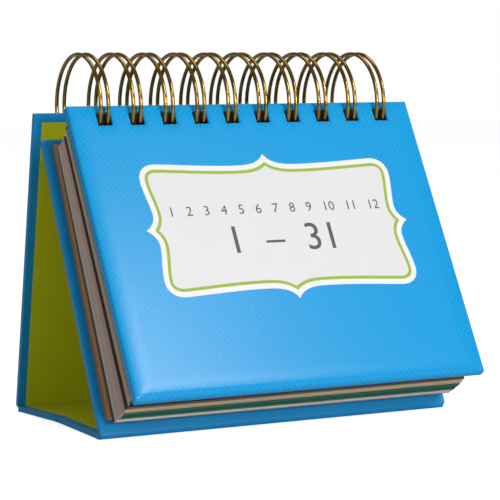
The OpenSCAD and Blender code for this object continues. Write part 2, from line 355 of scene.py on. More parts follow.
# Creases: at both feet and in the middle of the base only paper joins the panels, so it bends there.
# The wrap turns round each foot in a soft bend, and the lining runs across the middle crease.
# Each one is shaped to the two panels that it joins.
lap = 1.0
lap_proud = 0.02
lap_sink = 0.3
foot_corner_r = 2.2
foot_bend_run = 2.6
bend_steps = 8


def foot_profile(lean, corner):
    """A foot's bend from the panel to the base and back inside, as points (towards the base, up).

    Each point comes with its distance from the middle of the bend.
    """
    spread = math.pi / 2 - lean
    radius = foot_bend_run * math.tan(spread / 2)
    centre = Vector((foot_bend_run, radius))
    sweep = math.pi - spread
    up = Vector((math.sin(lean), math.cos(lean)))
    out = Vector((-math.cos(lean), math.sin(lean)))
    outer = [(up * (corner + lap) + out * lap_proud, corner + lap)]
    for i in range(bend_steps + 1):
        angle = 1.5 * math.pi - sweep * (1 - i / bend_steps)
        point = centre + radius * Vector((math.cos(angle), math.sin(angle)))
        outer.append((point, abs(i / bend_steps - 0.5) * sweep * radius))
    outer.append((Vector((corner + lap, -lap_proud)), corner + lap))
    inner = [
        (Vector((corner + lap, lap_sink)), corner + lap),
        (up * corner - out * panel_t, corner),
        (up * (corner + lap) - out * lap_sink, corner + lap),
    ]
    return outer + inner


def foot_bend(name, foot_y, side, lean, corner, bodies, node):
    """The bend of the wrap at one foot, as a closed strip shaped to the two panels it joins."""
    profile = foot_profile(lean, corner)
    mesh = bmesh.new()
    ends = []
    for sign in (-1, 1):
        ring = []
        for point, away in profile:
            short = max(0, foot_corner_r - away)
            half = half_w - foot_corner_r + math.sqrt(foot_corner_r**2 - short**2)
            ring.append(mesh.verts.new((sign * half, foot_y + side * point.x, point.y)))
        ends.append(ring)
    count = len(profile)
    for i in range(count):
        j = (i + 1) % count
        mesh.faces.new((ends[0][i], ends[0][j], ends[1][j], ends[1][i]))
    caps = [mesh.faces.new(ring) for ring in ends]
    bmesh.ops.recalc_face_normals(mesh, faces=mesh.faces)
    bmesh.ops.triangulate(mesh, faces=caps)
    bend = finished(name, mesh, Matrix.Scale(MM, 4), blue_paper)
    up = Vector((math.sin(lean), math.cos(lean))) * corner
    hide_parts(node)
    start = Vector((0, foot_y + side * up.x, up.y)) * MM
    end = Vector((0, foot_y + side * corner, 0)) * MM
    if bodies[0] == "base_rear":
        start, end = end, start
    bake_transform(bend)


foot_bend("front_foot_bend", front_foot, 1, front_lean, front_corner, ("front_panel", "base_front"),
          "front_crease")
foot_bend("rear_foot_bend", rear_foot, -1, back_lean, rear_corner, ("base_rear", "back_panel"),
          "rear_crease")

middle_steps = 4
mesh = bmesh.new()
xs = (-half_w, margin - half_w, half_w - margin, half_w)
crossing = [(free_end, i / middle_steps) for i in range(middle_steps + 1)]
sides = []
for along, share in ((free_end - lap / 2, 0), *crossing, (free_end - lap / 2, 1)):
    rows = []
    for depth in (-lap_proud, panel_t + lap_proud):
        spot = Vector((0, depth, along))
        point = (on_base_front @ spot).lerp(on_base_rear @ spot, share)
        rows.append([mesh.verts.new((x * MM, point.y, point.z)) for x in xs])
    sides.append(rows)
for a, b in zip(sides, sides[1:]):
    for k in range(len(xs) - 1):
        mesh.faces.new((a[0][k], a[0][k + 1], b[0][k + 1], b[0][k]))
        top = mesh.faces.new((a[1][k], b[1][k], b[1][k + 1], a[1][k + 1]))
        top.material_index = 1 if k == 1 else 0
    for k in (0, -1):
        mesh.faces.new((a[0][k], b[0][k], b[1][k], a[1][k]))
for side in (sides[0], sides[-1]):
    for k in range(len(xs) - 1):
        mesh.faces.new((side[0][k], side[1][k], side[1][k + 1], side[0][k + 1]))
middle = finished("middle_crease_bend", mesh, Matrix.Identity(4), blue_paper, lime_paper)
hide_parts("middle_crease")
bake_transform(middle)

# Twin loop wire: one steel wire with an antique bronze plating, bent to and fro into ten double loops.
# Each loop rises through the holes, turns back at its tip and runs on along the spine behind the front panel.
# The loops are squeezed shut, so that spine and tips lie side by side.
wire_gap = 2.96
elbow_r = 1.2
tip_angle = math.radians(-73)
spine_angle = math.radians(275)
loop_steps = 72
bend_points = 8
wire_sides = 14
wire_smooth_angle = math.radians(50)


def on_ring(angle, x, along=0.0):
    """A point of the ring, and how far it lies past that angle along the wire, in millimetres."""
    radial = Vector((0, math.cos(angle), math.sin(angle)))
    onward = Vector((0, -math.sin(angle), math.cos(angle)))
    return Vector((x, ring_axis.y, ring_axis.z)) + radial * ring_r + onward * along


def loop_path():
    """The right half of one loop's wire from its tip to the middle of the spine bar, as points."""
    half_gap = wire_gap / 2
    points = []
    for i in range(bend_points + 1):
        turn = math.pi / 2 * i / bend_points
        points.append(on_ring(tip_angle, half_gap * math.sin(turn), -half_gap * math.cos(turn)))
    for i in range(1, loop_steps):
        points.append(on_ring(tip_angle + (spine_angle - tip_angle) * i / loop_steps, half_gap))
    for i in range(bend_points + 1):
        turn = math.pi / 2 * i / bend_points
        elbow_x = half_gap + elbow_r * (1 - math.cos(turn))
        points.append(on_ring(spine_angle, elbow_x, elbow_r * math.sin(turn)))
    points.append(on_ring(spine_angle, loop_pitch / 2, elbow_r))
    return points


def plated_wire():
    """Antique bronze plating on drawn steel wire: warm metal, darker where the patina was left on."""
    patina_mm, draw_mm = 5.0, 0.5
    material, tree, shader = new_material("antique_bronze_plating", Metallic=1.0, Coat_Weight=0.4,
                                          Coat_Roughness=0.12)
    place = add(tree, "ShaderNodeTexCoord").outputs["Object"]
    patina = add(tree, "ShaderNodeTexNoise", {"Vector": place, "Scale": 1 / (patina_mm * MM), "Detail": 4.0})
    drawn = add(tree, "ShaderNodeTexNoise", {"Vector": place, "Scale": 1 / (draw_mm * MM), "Detail": 2.0})
    tone = add(tree, "ShaderNodeMix", {0: patina.outputs[0], 6: linear("#3A2003"), 7: linear("#EDBE52")},
               data_type="RGBA")
    rough = add(tree, "ShaderNodeMapRange", {"Value": patina.outputs[0], "To Min": 0.24, "To Max": 0.13})
    dents = add(tree, "ShaderNodeBump", {"Height": drawn.outputs[0], "Strength": 0.04, "Distance": 0.02 * MM})
    tree.links.new(tone.outputs[2], shader.inputs["Base Color"])
    tree.links.new(rough.outputs[0], shader.inputs["Roughness"])
    tree.links.new(dents.outputs[0], shader.inputs["Normal"])
    return material


def plain_mesh(source, tree, values, name):
    """The result of a node tree on an object, as a plain mesh object, with the source removed."""
    modifier = source.modifiers.new("build", "NODES")
    modifier.node_group = tree
    for item in tree.interface.items_tree:
        if item.in_out == "INPUT" and item.name in values:
            modifier[item.identifier] = values[item.name]
    source.update_tag()
    graph = bpy.context.evaluated_depsgraph_get()
    data = bpy.data.meshes.new_from_object(source.evaluated_get(graph), depsgraph=graph)
    data.name = name
    bpy.data.objects.remove(source)
    made = bpy.data.objects.new(name, data)
    bpy.context.scene.collection.objects.link(made)
    return made


def node_tree(name, **sockets):
    """A geometry node tree with one geometry in, named inputs and one geometry out."""
    tree = bpy.data.node_groups.new(name, "GeometryNodeTree")
    tree.interface.new_socket("Geometry", in_out="INPUT", socket_type="NodeSocketGeometry")
    for key, kind in sockets.items():
        tree.interface.new_socket(key.replace("_", " "), in_out="INPUT", socket_type="NodeSocket" + kind)
    tree.interface.new_socket("Geometry", in_out="OUTPUT", socket_type="NodeSocketGeometry")
    return tree, add(tree, "NodeGroupInput").outputs


wire_metal = plated_wire()
half_path = loop_path()
whole_path = [Vector((-p.x, p.y, p.z)) for p in reversed(half_path[1:])] + half_path
path = bpy.data.curves.new("wire_path", "CURVE")
path.dimensions = "3D"
spline = path.splines.new("POLY")
spline.points.add(len(whole_path) - 1)
for point, place in zip(spline.points, whole_path):
    point.co = (*((place + Vector((loop_xs[0], 0, 0))) * MM), 1)
one_loop = bpy.data.objects.new("wire_path", path)
bpy.context.scene.collection.objects.link(one_loop)

tree, given = node_tree("wire_row", Loops="Int", Pitch="Float", Wire_radius="Float", Sides="Int",
                        Metal="Material")
round_wire = add(tree, "GeometryNodeCurvePrimitiveCircle",
                 {"Resolution": given["Sides"], "Radius": given["Wire radius"]})
tube = add(tree, "GeometryNodeCurveToMesh",
           {"Curve": given["Geometry"], "Profile Curve": round_wire.outputs[0], "Fill Caps": True})
step = add(tree, "ShaderNodeCombineXYZ", {"X": given["Pitch"]})
spots = add(tree, "GeometryNodeMeshLine", {"Count": given["Loops"], "Offset": step.outputs[0]}, mode="OFFSET")
row = add(tree, "GeometryNodeInstanceOnPoints", {"Points": spots.outputs[0], "Instance": tube.outputs[0]})
whole = add(tree, "GeometryNodeRealizeInstances", {"Geometry": row.outputs[0]})
plated = add(tree, "GeometryNodeSetMaterial", {"Geometry": whole.outputs[0], "Material": given["Metal"]})
add(tree, "NodeGroupOutput", {"Geometry": plated.outputs[0]})
wire = plain_mesh(one_loop, tree, {
    "Loops": loop_count, "Pitch": loop_pitch * MM, "Wire radius": wire_d / 2 * MM,
    "Sides": wire_sides, "Metal": wire_metal}, "twin_loop_wire")
wire.data.shade_smooth()
wire.data.set_sharp_from_angle(angle=wire_smooth_angle)
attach(wire, "front_panel")
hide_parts(*[f"wire_loop_{i + 1}" for i in range(len(loop_xs))])

# Leaves: twelve months of loose leaves, fifteen to a month, with ten holes along the top.
# Thin printed card, trimmed in one block, so each month's ink shows in its edges as fine lines. January to
# March have near-black feet and January near-black sides: painted shade of the shadowed gap under the cover.
# They hang on the loops a little askew and fan out towards the bottom.
months = ("january", "february", "march", "april", "may", "june",
          "july", "august", "september", "october", "november", "december")
leaves = 15
leaf_t = 0.04
page_t = 1.15
page_pitch = 1.2
page_w = 137.4
page_h = 101.5
page_hole_clear = 1.0
page_hole_edge = 4.0
leaf_shift = 1.7
leaf_step = 60
panel_gap = 0.15
last_depth = ring_ahead - panel_gap - page_t / 2
fan = math.radians(3.7)
scatter = (0.12, 0.06)
spread_share = 0.75
first_seed = 11
ink_t = 0.02
bleed = 2.5
loose = {"january": (0.5, 0), "march": (0, 0.45), "april": (0.4, 0), "october": (0, 0.55),
         "november": (0.5, 0), "december": (0, 0.12)}
askew_degrees = (0.25, 0.15, 0.2, 0.1, 0.05, -0.05, 0.05, -0.05, 0.03, -0.1, -0.25, -0.35)
hang = (0.2, 0.4, 0.5, 0.75, 0.9, 0.9, 0.9, 0.95, 1.0, 1.0, -0.4, -0.7)
month_inks_and_painted_shade = (
    # January to March: near-black feet, and January's near-black sides, are painted shade of the shadowed gap
    # under the cover.
    ("#0E0B08", "#1A1612", "#4E463C", "#C98A3A"),
    ("#0E0B08", "#1A1612", "#E3D5AC", "#4B8FB5"),
    ("#0E0B08", "#1E1914", "#DCC9A0", "#8A9A3B"),
    ("#CDB893", "#8A7660", "#3E3032", "#5FA08A"),
    ("#DDCBA8", "#B58E80", "#EBC8C0", "#2F8F7C"),
    ("#1C6A54", "#3E9A82", "#EED2CA", "#1F7A69"),
    ("#17604E", "#3E9A82", "#F0DDD2", "#3B8FA8"),
    ("#1F6E58", "#F6F1E6", "#E9DFD0", "#B58A4A"),
    ("#F6F1E6", "#DDC9B6", "#EFE6D6", "#A86B4A"),
    ("#D6B0A4", "#F0E4D8", "#3E382E", "#7C6A9A"),
    ("#C49A8E", "#E6CCC2", "#DBAA74", "#B4574C"),
    ("#F4F0EC", "#D6CAC6", "#C58452", "#8F4A52"),
)


def printed_leaf(name, foot, other_foot, side, ink):
    """Printed card stock: white, with a tinted head band, ruled lines and ink that bleeds over the edges.
    Near-black foot or side colours are painted shade of the gap under the cover.

    The first four values and foot_strip are shares of the page. The rules and side_strip are in millimetres.
    """
    head, rules_top, page_middle, rules_half = 0.80, 0.34, 0.5, 0.42
    rule_gap, rule_w, foot_strip, side_strip = 9.0, 0.35, 0.006, 0.3
    rare_above, side_shade = 0.7, 0.35
    material, tree, shader = new_material(name, Roughness=0.6, IOR=1.48)
    page = add(tree, "ShaderNodeUVMap", uv_map="page")
    spot = add(tree, "ShaderNodeSeparateXYZ", {0: page.outputs[0]})
    band = add(tree, "ShaderNodeMath", {0: spot.outputs["Y"], 1: head}, operation="GREATER_THAN")
    up_mm = add(tree, "ShaderNodeMath", {0: spot.outputs["Y"], 1: page_h}, operation="MULTIPLY")
    wave = add(tree, "ShaderNodeMath", {0: up_mm.outputs[0], 1: rule_gap / 2}, operation="PINGPONG")
    rule = add(tree, "ShaderNodeMath", {0: wave.outputs[0], 1: rule_w / 2}, operation="LESS_THAN")
    low = add(tree, "ShaderNodeMath", {0: spot.outputs["Y"], 1: rules_top}, operation="LESS_THAN")
    inset = add(tree, "ShaderNodeMath", {0: spot.outputs["X"], 1: page_middle, 2: rules_half},
                operation="COMPARE")
    ruled = add(tree, "ShaderNodeMath", {0: rule.outputs[0], 1: low.outputs[0]}, operation="MULTIPLY")
    ruled = add(tree, "ShaderNodeMath", {0: ruled.outputs[0], 1: inset.outputs[0]}, operation="MULTIPLY")
    inked = add(tree, "ShaderNodeMath", {0: band.outputs[0], 1: ruled.outputs[0]}, operation="MAXIMUM")
    face = add(tree, "ShaderNodeMix", {0: inked.outputs[0], 6: linear("#F3F0E8"), 7: linear(ink)},
               data_type="RGBA")
    pick = add(tree, "ShaderNodeAttribute", attribute_name="pick")
    rare = add(tree, "ShaderNodeMath", {0: pick.outputs["Fac"], 1: rare_above}, operation="GREATER_THAN")
    # Foot colour: print, and for January to March painted shade of the gap under the cover.
    foot_ink_and_shade = add(tree, "ShaderNodeMix", {0: rare.outputs[0], 6: linear(foot), 7: linear(other_foot)},
                   data_type="RGBA")
    shade = add(tree, "ShaderNodeMapRange",
                {"Value": pick.outputs["Fac"], "To Min": side_shade, "To Max": 0.0})
    # Side colour: print, and for January painted shade of the gap under the cover.
    side_ink_and_shade = add(tree, "ShaderNodeMix", {0: shade.outputs[0], 6: linear(side), 7: linear("#B5A89C")},
                   data_type="RGBA")
    in_x = add(tree, "ShaderNodeMath", {0: spot.outputs["X"], 1: page_middle}, operation="PINGPONG")
    in_x = add(tree, "ShaderNodeMath", {0: in_x.outputs[0], 1: page_w}, operation="MULTIPLY")
    at_foot = add(tree, "ShaderNodeMath", {0: spot.outputs["Y"], 1: foot_strip}, operation="LESS_THAN")
    off_side = add(tree, "ShaderNodeMath", {0: in_x.outputs[0], 1: side_strip}, operation="GREATER_THAN")
    at_foot = add(tree, "ShaderNodeMath", {0: at_foot.outputs[0], 1: off_side.outputs[0]},
                  operation="MULTIPLY")
    edge = add(tree, "ShaderNodeMix", {0: at_foot.outputs[0], 6: side_ink_and_shade.outputs[2], 7: foot_ink_and_shade.outputs[2]},
               data_type="RGBA")
    in_z = add(tree, "ShaderNodeMath", {0: spot.outputs["Y"], 1: page_middle}, operation="PINGPONG")
    in_z = add(tree, "ShaderNodeMath", {0: in_z.outputs[0], 1: page_h}, operation="MULTIPLY")
    inwards = add(tree, "ShaderNodeMath", {0: in_x.outputs[0], 1: in_z.outputs[0]}, operation="MINIMUM")
    border = add(tree, "ShaderNodeMath", {0: inwards.outputs[0], 1: bleed}, operation="LESS_THAN")
    tone = add(tree, "ShaderNodeMix", {0: border.outputs[0], 6: face.outputs[2], 7: edge.outputs[2]},
               data_type="RGBA")
    tree.links.new(tone.outputs[2], shader.inputs["Base Color"])
    return material


def leaf_sheet(low, high, askew, drop):
    """One leaf as a mesh object with page coordinates, measured from the loops' centre line.

    It is turned a little in its plane and hangs lower by the drop, but its holes stay round the wire.
    """
    top = (low + high) / 2 + page_hole_edge
    left = leaf_shift - page_w / 2
    holes = row_of_holes(hole_w, low + drop, high + drop)
    xs = lines(left, left + page_w, (), leaf_step, [x for hole in holes for x in hole[:2]])
    zs = lines(top - page_h, top, (), leaf_step, (low + drop, high + drop))
    mesh = punched_sheet(xs, zs, holes, lambda x, z: (x, 0, z), lambda x, z: (x, leaf_t, z))
    page = mesh.loops.layers.uv.new("page")
    for f in mesh.faces:
        for loop in f.loops:
            loop[page].uv = ((loop.vert.co.x - left) / page_w, (loop.vert.co.z - top + page_h) / page_h)
    row_middle = Vector((sum(loop_xs) / loop_count, 0, (low + high) / 2))
    turn = Matrix.Rotation(-math.radians(askew), 3, "Y")
    bmesh.ops.rotate(mesh, cent=row_middle, matrix=turn, verts=mesh.verts)
    bmesh.ops.translate(mesh, vec=(0, 0, -drop), verts=mesh.verts)
    return finished("leaf_sheet", mesh, Matrix.Scale(MM, 4))


tree, given = node_tree("leaf_stack", Leaves="Int", Depth="Float", Spacing="Float", Lean="Float",
                        Spread="Float", Scatter="Vector", Seed="Int", Axis="Vector", Stock="Material")
spots = add(tree, "GeometryNodeMeshLine", {"Count": given["Leaves"]}, mode="OFFSET")
index = add(tree, "GeometryNodeInputIndex")
depth = add(tree, "ShaderNodeMath", {0: index.outputs[0], 1: given["Spacing"], 2: given["Depth"]},
            operation="MULTIPLY_ADD")
lean = add(tree, "ShaderNodeMath", {0: index.outputs[0], 1: given["Spread"], 2: given["Lean"]},
           operation="MULTIPLY_ADD")
away = add(tree, "ShaderNodeVectorMath", {0: given["Scatter"], 1: (-1, -1, -1)}, operation="MULTIPLY")
askew = add(tree, "FunctionNodeRandomValue", {0: away.outputs[0], 1: given["Scatter"], "Seed": given["Seed"]},
            data_type="FLOAT_VECTOR")
put = add(tree, "ShaderNodeCombineXYZ", {"Y": depth.outputs[0]})
put = add(tree, "ShaderNodeVectorMath", {0: put.outputs[0], 1: askew.outputs[0]}, operation="ADD")
turn = add(tree, "ShaderNodeVectorRotate",
           {"Vector": put.outputs[0], "Axis": (1, 0, 0), "Angle": lean.outputs[0]},
           rotation_type="AXIS_ANGLE")
put = add(tree, "ShaderNodeVectorMath", {0: turn.outputs[0], 1: given["Axis"]}, operation="ADD")
spots = add(tree, "GeometryNodeSetPosition", {"Geometry": spots.outputs[0], "Position": put.outputs[0]})
tilt = add(tree, "ShaderNodeCombineXYZ", {"X": lean.outputs[0]})
stack = add(tree, "GeometryNodeInstanceOnPoints",
            {"Points": spots.outputs[0], "Instance": given["Geometry"], "Rotation": tilt.outputs[0]})
chance = add(tree, "FunctionNodeRandomValue", {2: 0.0, 3: 1.0, "Seed": given["Seed"]}, data_type="FLOAT")
marked = add(tree, "GeometryNodeStoreNamedAttribute",
             {"Geometry": stack.outputs[0], "Name": "pick", "Value": chance.outputs[1]},
             data_type="FLOAT", domain="INSTANCE")
whole = add(tree, "GeometryNodeRealizeInstances", {"Geometry": marked.outputs[0]})
stock = add(tree, "GeometryNodeSetMaterial", {"Geometry": whole.outputs[0], "Material": given["Stock"]})
add(tree, "NodeGroupOutput", {"Geometry": stock.outputs[0]})


def text_mesh(name, words, height):
    """Plain figures from the built-in face, centred, as thin closed plates in millimetres with y up."""
    arc_steps = 4
    curve = bpy.data.curves.new(name, "FONT")
    curve.body = words
    curve.size = height
    curve.align_x = "CENTER"
    curve.align_y = "CENTER"
    curve.extrude = ink_t / 2
    curve.resolution_u = arc_steps
    made = bpy.data.objects.new(name, curve)
    bpy.context.scene.collection.objects.link(made)
    graph = bpy.context.evaluated_depsgraph_get()
    data = bpy.data.meshes.new_from_object(made.evaluated_get(graph), depsgraph=graph)
    bpy.data.objects.remove(made)
    mesh = bmesh.new()
    mesh.from_mesh(data)
    bpy.data.meshes.remove(data)
    return mesh


def printing_ink(name, colour):
    """Offset printing ink on paper: dense and nearly dull, with the paper's grain breaking it up a little."""
    grain_mm, paler, least = 0.4, 1.25, 0.01
    material, tree, shader = new_material(name, Roughness=0.55, IOR=1.48)
    place = add(tree, "ShaderNodeTexCoord").outputs["Object"]
    grain = add(tree, "ShaderNodeTexNoise", {"Vector": place, "Scale": 1 / (grain_mm * MM), "Detail": 2.0})
    lighter = tuple(min(1, c * paler + least) for c in linear(colour)[:3]) + (1.0,)
    tone = add(tree, "ShaderNodeMix", {0: grain.outputs[0], 6: linear(colour), 7: lighter}, data_type="RGBA")
    tree.links.new(tone.outputs[2], shader.inputs["Base Color"])
    return material


black_ink = printing_ink("black_offset_ink", "#2E2E33")
upright = Matrix.Rotation(math.pi / 2, 4, "X")
number_size = 38.0
number_height = 0.56
number_lift = 0.03
for i, month in enumerate(months):
    from_last = len(months) - 1 - i
    month_depth = last_depth - from_last * page_pitch
    month_lean = front_lean + fan * from_last / len(months)
    low, high = wire_cross(month_depth - page_t / 2, month_depth + page_t / 2, page_hole_clear)
    sheet = leaf_sheet(low, high, askew_degrees[i], hang[i])
    stock = printed_leaf("printed_card_" + month, *month_inks_and_painted_shade[i])
    gap_ahead, gap_behind = loose.get(month, (0, 0))
    spacing = (page_t - gap_ahead - gap_behind) / leaves
    first_depth = month_depth - page_t / 2 + gap_ahead
    spread = fan / len(months) * spread_share / leaves
    first_lean = month_lean + spread * leaves / 2
    stack = plain_mesh(sheet, tree, {
        "Leaves": leaves, "Depth": first_depth * MM, "Spacing": spacing * MM, "Lean": -first_lean,
        "Spread": spread, "Scatter": (scatter[0] * MM, 0, scatter[1] * MM), "Seed": first_seed + i,
        "Axis": (0, ring_axis.y * MM, ring_axis.z * MM), "Stock": stock}, "leaves_" + month)
    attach(stack, month)
    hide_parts("pages_" + month)
    for words, k, turned in (("1", 0, False), ("30", leaves - 1, True)):
        lie = first_depth + k * spacing + (leaf_t + number_lift if turned else -number_lift)
        middle = Vector((leaf_shift, lie, (low + high) / 2 + page_hole_edge - page_h * number_height))
        place = (Matrix.Translation(ring_axis * MM) @ Matrix.Rotation(spread * k - first_lean, 4, "X")
                 @ Matrix.Scale(MM, 4) @ Matrix.Translation(middle)
                 @ Matrix.Rotation(math.pi * turned, 4, "Z") @ upright)
        figures = text_mesh("number", words, number_size)
        number = finished(f"number_{month}_{words}", figures, place, black_ink)
        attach(number, month)

# Cover: a board padded with thin foam under printed blue paper, with lime paper glued on behind.
# The paper is drawn over the pad and glued down behind, so its edges roll and it dips at the punched holes.
# The print is a fine lattice of paler lines under a satin film.
cover_w = 141.0
cover_h = 110.6
cover_t = 3.9
cover_shift = 2.7
cover_gap = 0.5
cover_depth = last_depth - (len(months) - 1) * page_pitch - page_t / 2 - cover_gap - cover_t
cover_hole_edge = 6.5
cover_hole_clear = 0.3
punch_clear = 0.35
punch_depth = 1.8
cover_corner_r = 0.5
roll_r = 0.9
foot_roll_r = 2.2
crown_drop = 0.85
crown_run = 8.0
hole_roll_r = 0.5
hole_dip = 0.35
hole_dip_run = 2.2
pad_edge_r = 0.3
pad_step = 7
roll_lines = (0.04, 0.12, 0.26, 0.45, 0.65, 0.9, 1.4, 2.1, 3.0, 4.1, 5.3, 6.6, 8.0)
hole_lines = (0.03, 0.1, 0.22, 0.5, 1.0, 1.6, 2.2)
cover_top = sum(wire_cross(cover_depth, cover_depth + cover_t, cover_hole_clear)) / 2 + cover_hole_edge
cover_foot = cover_top - cover_h
cover_left = cover_shift - cover_w / 2
hole_front = wire_cross(cover_depth, cover_depth + punch_depth, punch_clear)
hole_back = wire_cross(cover_depth + cover_t, cover_depth + cover_t, punch_clear)
on_cover = (Matrix.Scale(MM, 4) @ Matrix.Translation((0, ring_axis.y, ring_axis.z))
            @ Matrix.Rotation(-(front_lean + fan), 4, "X") @ Matrix.Translation((0, cover_depth, 0)))
cover_holes = row_of_holes(hole_w, *hole_front)


def roll(distance, radius):
    """Drop of a round edge at a distance inwards from it."""
    short = max(0, radius - distance)
    return radius - math.sqrt(max(0, radius**2 - short**2))


def pad_face(x, z):
    """Depth of the padded face behind its highest part."""
    rim = min(x - cover_left, cover_left + cover_w - x, z - cover_foot, cover_top - z)
    depth = max(roll(rim, roll_r), roll(z - cover_foot, foot_roll_r))
    depth += crown_drop * max(0, 1 - rim / crown_run) ** 2
    x0, x1, z0, z1 = min(cover_holes, key=lambda hole: abs(x - (hole[0] + hole[1]) / 2))
    away = math.hypot(max(0, x0 - x, x - x1), max(0, z0 - z, z - z1))
    return depth + roll(away, hole_roll_r) + hole_dip * max(0, 1 - away / hole_dip_run) ** 2


def lattice_print():
    """Printed paper under a satin film: a net of paler lines, barely raised, under a soft broad gloss."""
    gap_mm, line_mm, soft_mm, cloud_mm = 1.6, 0.2, 0.35, 30
    net_turn = (0, 0, math.radians(45))
    material, tree, shader = new_material("lattice_printed_paper", Roughness=0.22, IOR=1.4)
    print_mm = add(tree, "ShaderNodeUVMap", uv_map="print")
    turned = add(tree, "ShaderNodeMapping", {"Vector": print_mm.outputs[0], "Rotation": net_turn})
    spot = add(tree, "ShaderNodeSeparateXYZ", {0: turned.outputs[0]})
    nets = []
    for axis in ("X", "Y"):
        wave = add(tree, "ShaderNodeMath", {0: spot.outputs[axis], 1: gap_mm / 2}, operation="PINGPONG")
        line = add(tree, "ShaderNodeMapRange",
                   {"Value": wave.outputs[0], "From Min": line_mm / 2, "From Max": line_mm / 2 + soft_mm,
                    "To Min": 1.0, "To Max": 0.0})
        nets.append(line.outputs[0])
    net = add(tree, "ShaderNodeMath", {0: nets[0], 1: nets[1]}, operation="MAXIMUM")
    place = add(tree, "ShaderNodeTexCoord").outputs["Object"]
    cloud = add(tree, "ShaderNodeTexNoise", {"Vector": place, "Scale": 1 / (cloud_mm * MM), "Detail": 2.0})
    ground = add(tree, "ShaderNodeMix", {0: cloud.outputs[0], 6: linear("#08A0E8"), 7: linear("#0CA6EE")},
                 data_type="RGBA")
    tone = add(tree, "ShaderNodeMix", {0: net.outputs[0], 6: ground.outputs[2], 7: linear("#20ADEE")},
               data_type="RGBA")
    raised = add(tree, "ShaderNodeBump", {"Height": net.outputs[0], "Strength": 0.25, "Distance": 0.03 * MM})
    tree.links.new(tone.outputs[2], shader.inputs["Base Color"])
    tree.links.new(raised.outputs[0], shader.inputs["Normal"])
    return material


cover_box = (cover_left, cover_left + cover_w, cover_foot, cover_top)
near_holes_x = [x for hole in cover_holes for d in (0, *hole_lines) for x in (hole[0] - d, hole[1] + d)]
near_holes_z = [z for d in (0, *hole_lines) for z in (cover_holes[0][2] - d, cover_holes[0][3] + d)]
cover_xs = lines(cover_box[0], cover_box[1], roll_lines, pad_step, near_holes_x)
cover_zs = lines(cover_box[2], cover_box[3], roll_lines, pad_step, near_holes_z)


def pad_front(x, z):
    """The padded face, with round corners."""
    depth = pad_face(x, z)
    x, z = rounded(x, z, cover_box, cover_corner_r, cover_corner_r)
    return (x, depth, z)


def pad_back(x, z):
    """The back of the cover, where the holes lie lower because the wire slants through."""
    x, z = rounded(x, z, cover_box, cover_corner_r, cover_corner_r)
    stops = ((cover_foot, cover_foot), *zip(hole_front, hole_back), (cover_top, cover_top))
    for (z0, back0), (z1, back1) in zip(stops, stops[1:]):
        if z0 <= z <= z1:
            return (x, cover_t - turn_in_drop, back0 + (back1 - back0) * (z - z0) / (z1 - z0))
    return (x, cover_t - turn_in_drop, z)


mesh = punched_sheet(cover_xs, cover_zs, cover_holes, pad_front, pad_back)
print_uv = mesh.loops.layers.uv.new("print")
for face in mesh.faces:
    for loop in face.loops:
        loop[print_uv].uv = (loop.vert.co.x - cover_left, loop.vert.co.z - cover_foot)
soften(mesh, pad_edge_r)
lattice_paper = lattice_print()
# The walls of the cover's holes: the pulp board's punched edge, darkened to near black as painted shade
# inside the holes.
punched_edge_painted_shade = pulp_board("punched_pulp_board_painted_shade", "#332A22", "#4E4238")
cover_pad = finished("cover_pad", mesh, on_cover, lattice_paper, punched_edge_painted_shade)
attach(cover_pad, "cover")
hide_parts("cover_wrap", "cover_foam")
cover_lining = frame["nodes"]["cover_liner"]
cover_lining.data.materials.clear()
cover_lining.data.materials.append(lime_paper)

# Label field: a bracket-edged panel printed on the cover, white with a green line and a pale grey middle.
# It stands for ink in the same print, so it is a thin plate that lies flat in the pad's face.
# Plain month and day numbers stand in it.
label_x = 72.1
label_z = 61.2
line_inset = 2.0
line_w = 1.2
print_lift = 0.02
print_sink = 0.1
curve_steps = 10
bracket_knots = (
    ((0, 28.3), (0, 28.3), (1.8, 25.4)),
    ((10, 24.0), (5, 24.2), (20, 23.7)),
    ((43, 25.3), (35, 24.9), (48.6, 25.9)),
    ((51.3, 18.0), (51.8, 22.8), (50.9, 13)),
    ((49.6, 5.2), (49.3, 8), (49.8, 3)),
    ((53.4, 0), (51.5, 1.2), (53.4, 0)),
)


def bracket_quarter(inset):
    """The upper right quarter of the bracket outline, moved inwards, from the upper tip to the right one.

    A knot is a point with the handles before and after it, in millimetres from the label's middle.
    """
    points = []
    for a, b in zip(bracket_knots, bracket_knots[1:]):
        curve = interpolate_bezier(*[Vector((*p, 0)) for p in (a[0], a[2], b[1], b[0])], curve_steps)
        kept_points = curve_steps if b is bracket_knots[-1] else curve_steps - 1
        points += [p.to_2d() for p in curve[:kept_points]]
    moved = []
    for i, p in enumerate(points):
        run = (points[min(i + 1, len(points) - 1)] - points[max(i - 1, 0)]).normalized()
        moved.append(p + Vector((run.y, -run.x)) * inset)
    kept = [p for p in moved if p.x > 0 and p.y > 0]
    first = next(i for i, p in enumerate(moved) if p.x > 0)
    last = next(i for i in range(len(moved) - 1, -1, -1) if moved[i].y > 0)
    if first > 0:
        a, b = moved[first - 1], moved[first]
        kept.insert(0, a.lerp(b, -a.x / (b.x - a.x)))
    if last < len(moved) - 1:
        a, b = moved[last], moved[last + 1]
        kept.append(a.lerp(b, a.y / (a.y - b.y)))
    return kept


def bracket_outline(inset):
    """The whole outline: the quarter and its three mirror images, without doubles on the axes."""
    quarter = bracket_quarter(inset)
    right = quarter + [Vector((p.x, -p.y)) for p in reversed(quarter[:-1])]
    return right + [Vector((-p.x, p.y)) for p in reversed(right[1:-1])]


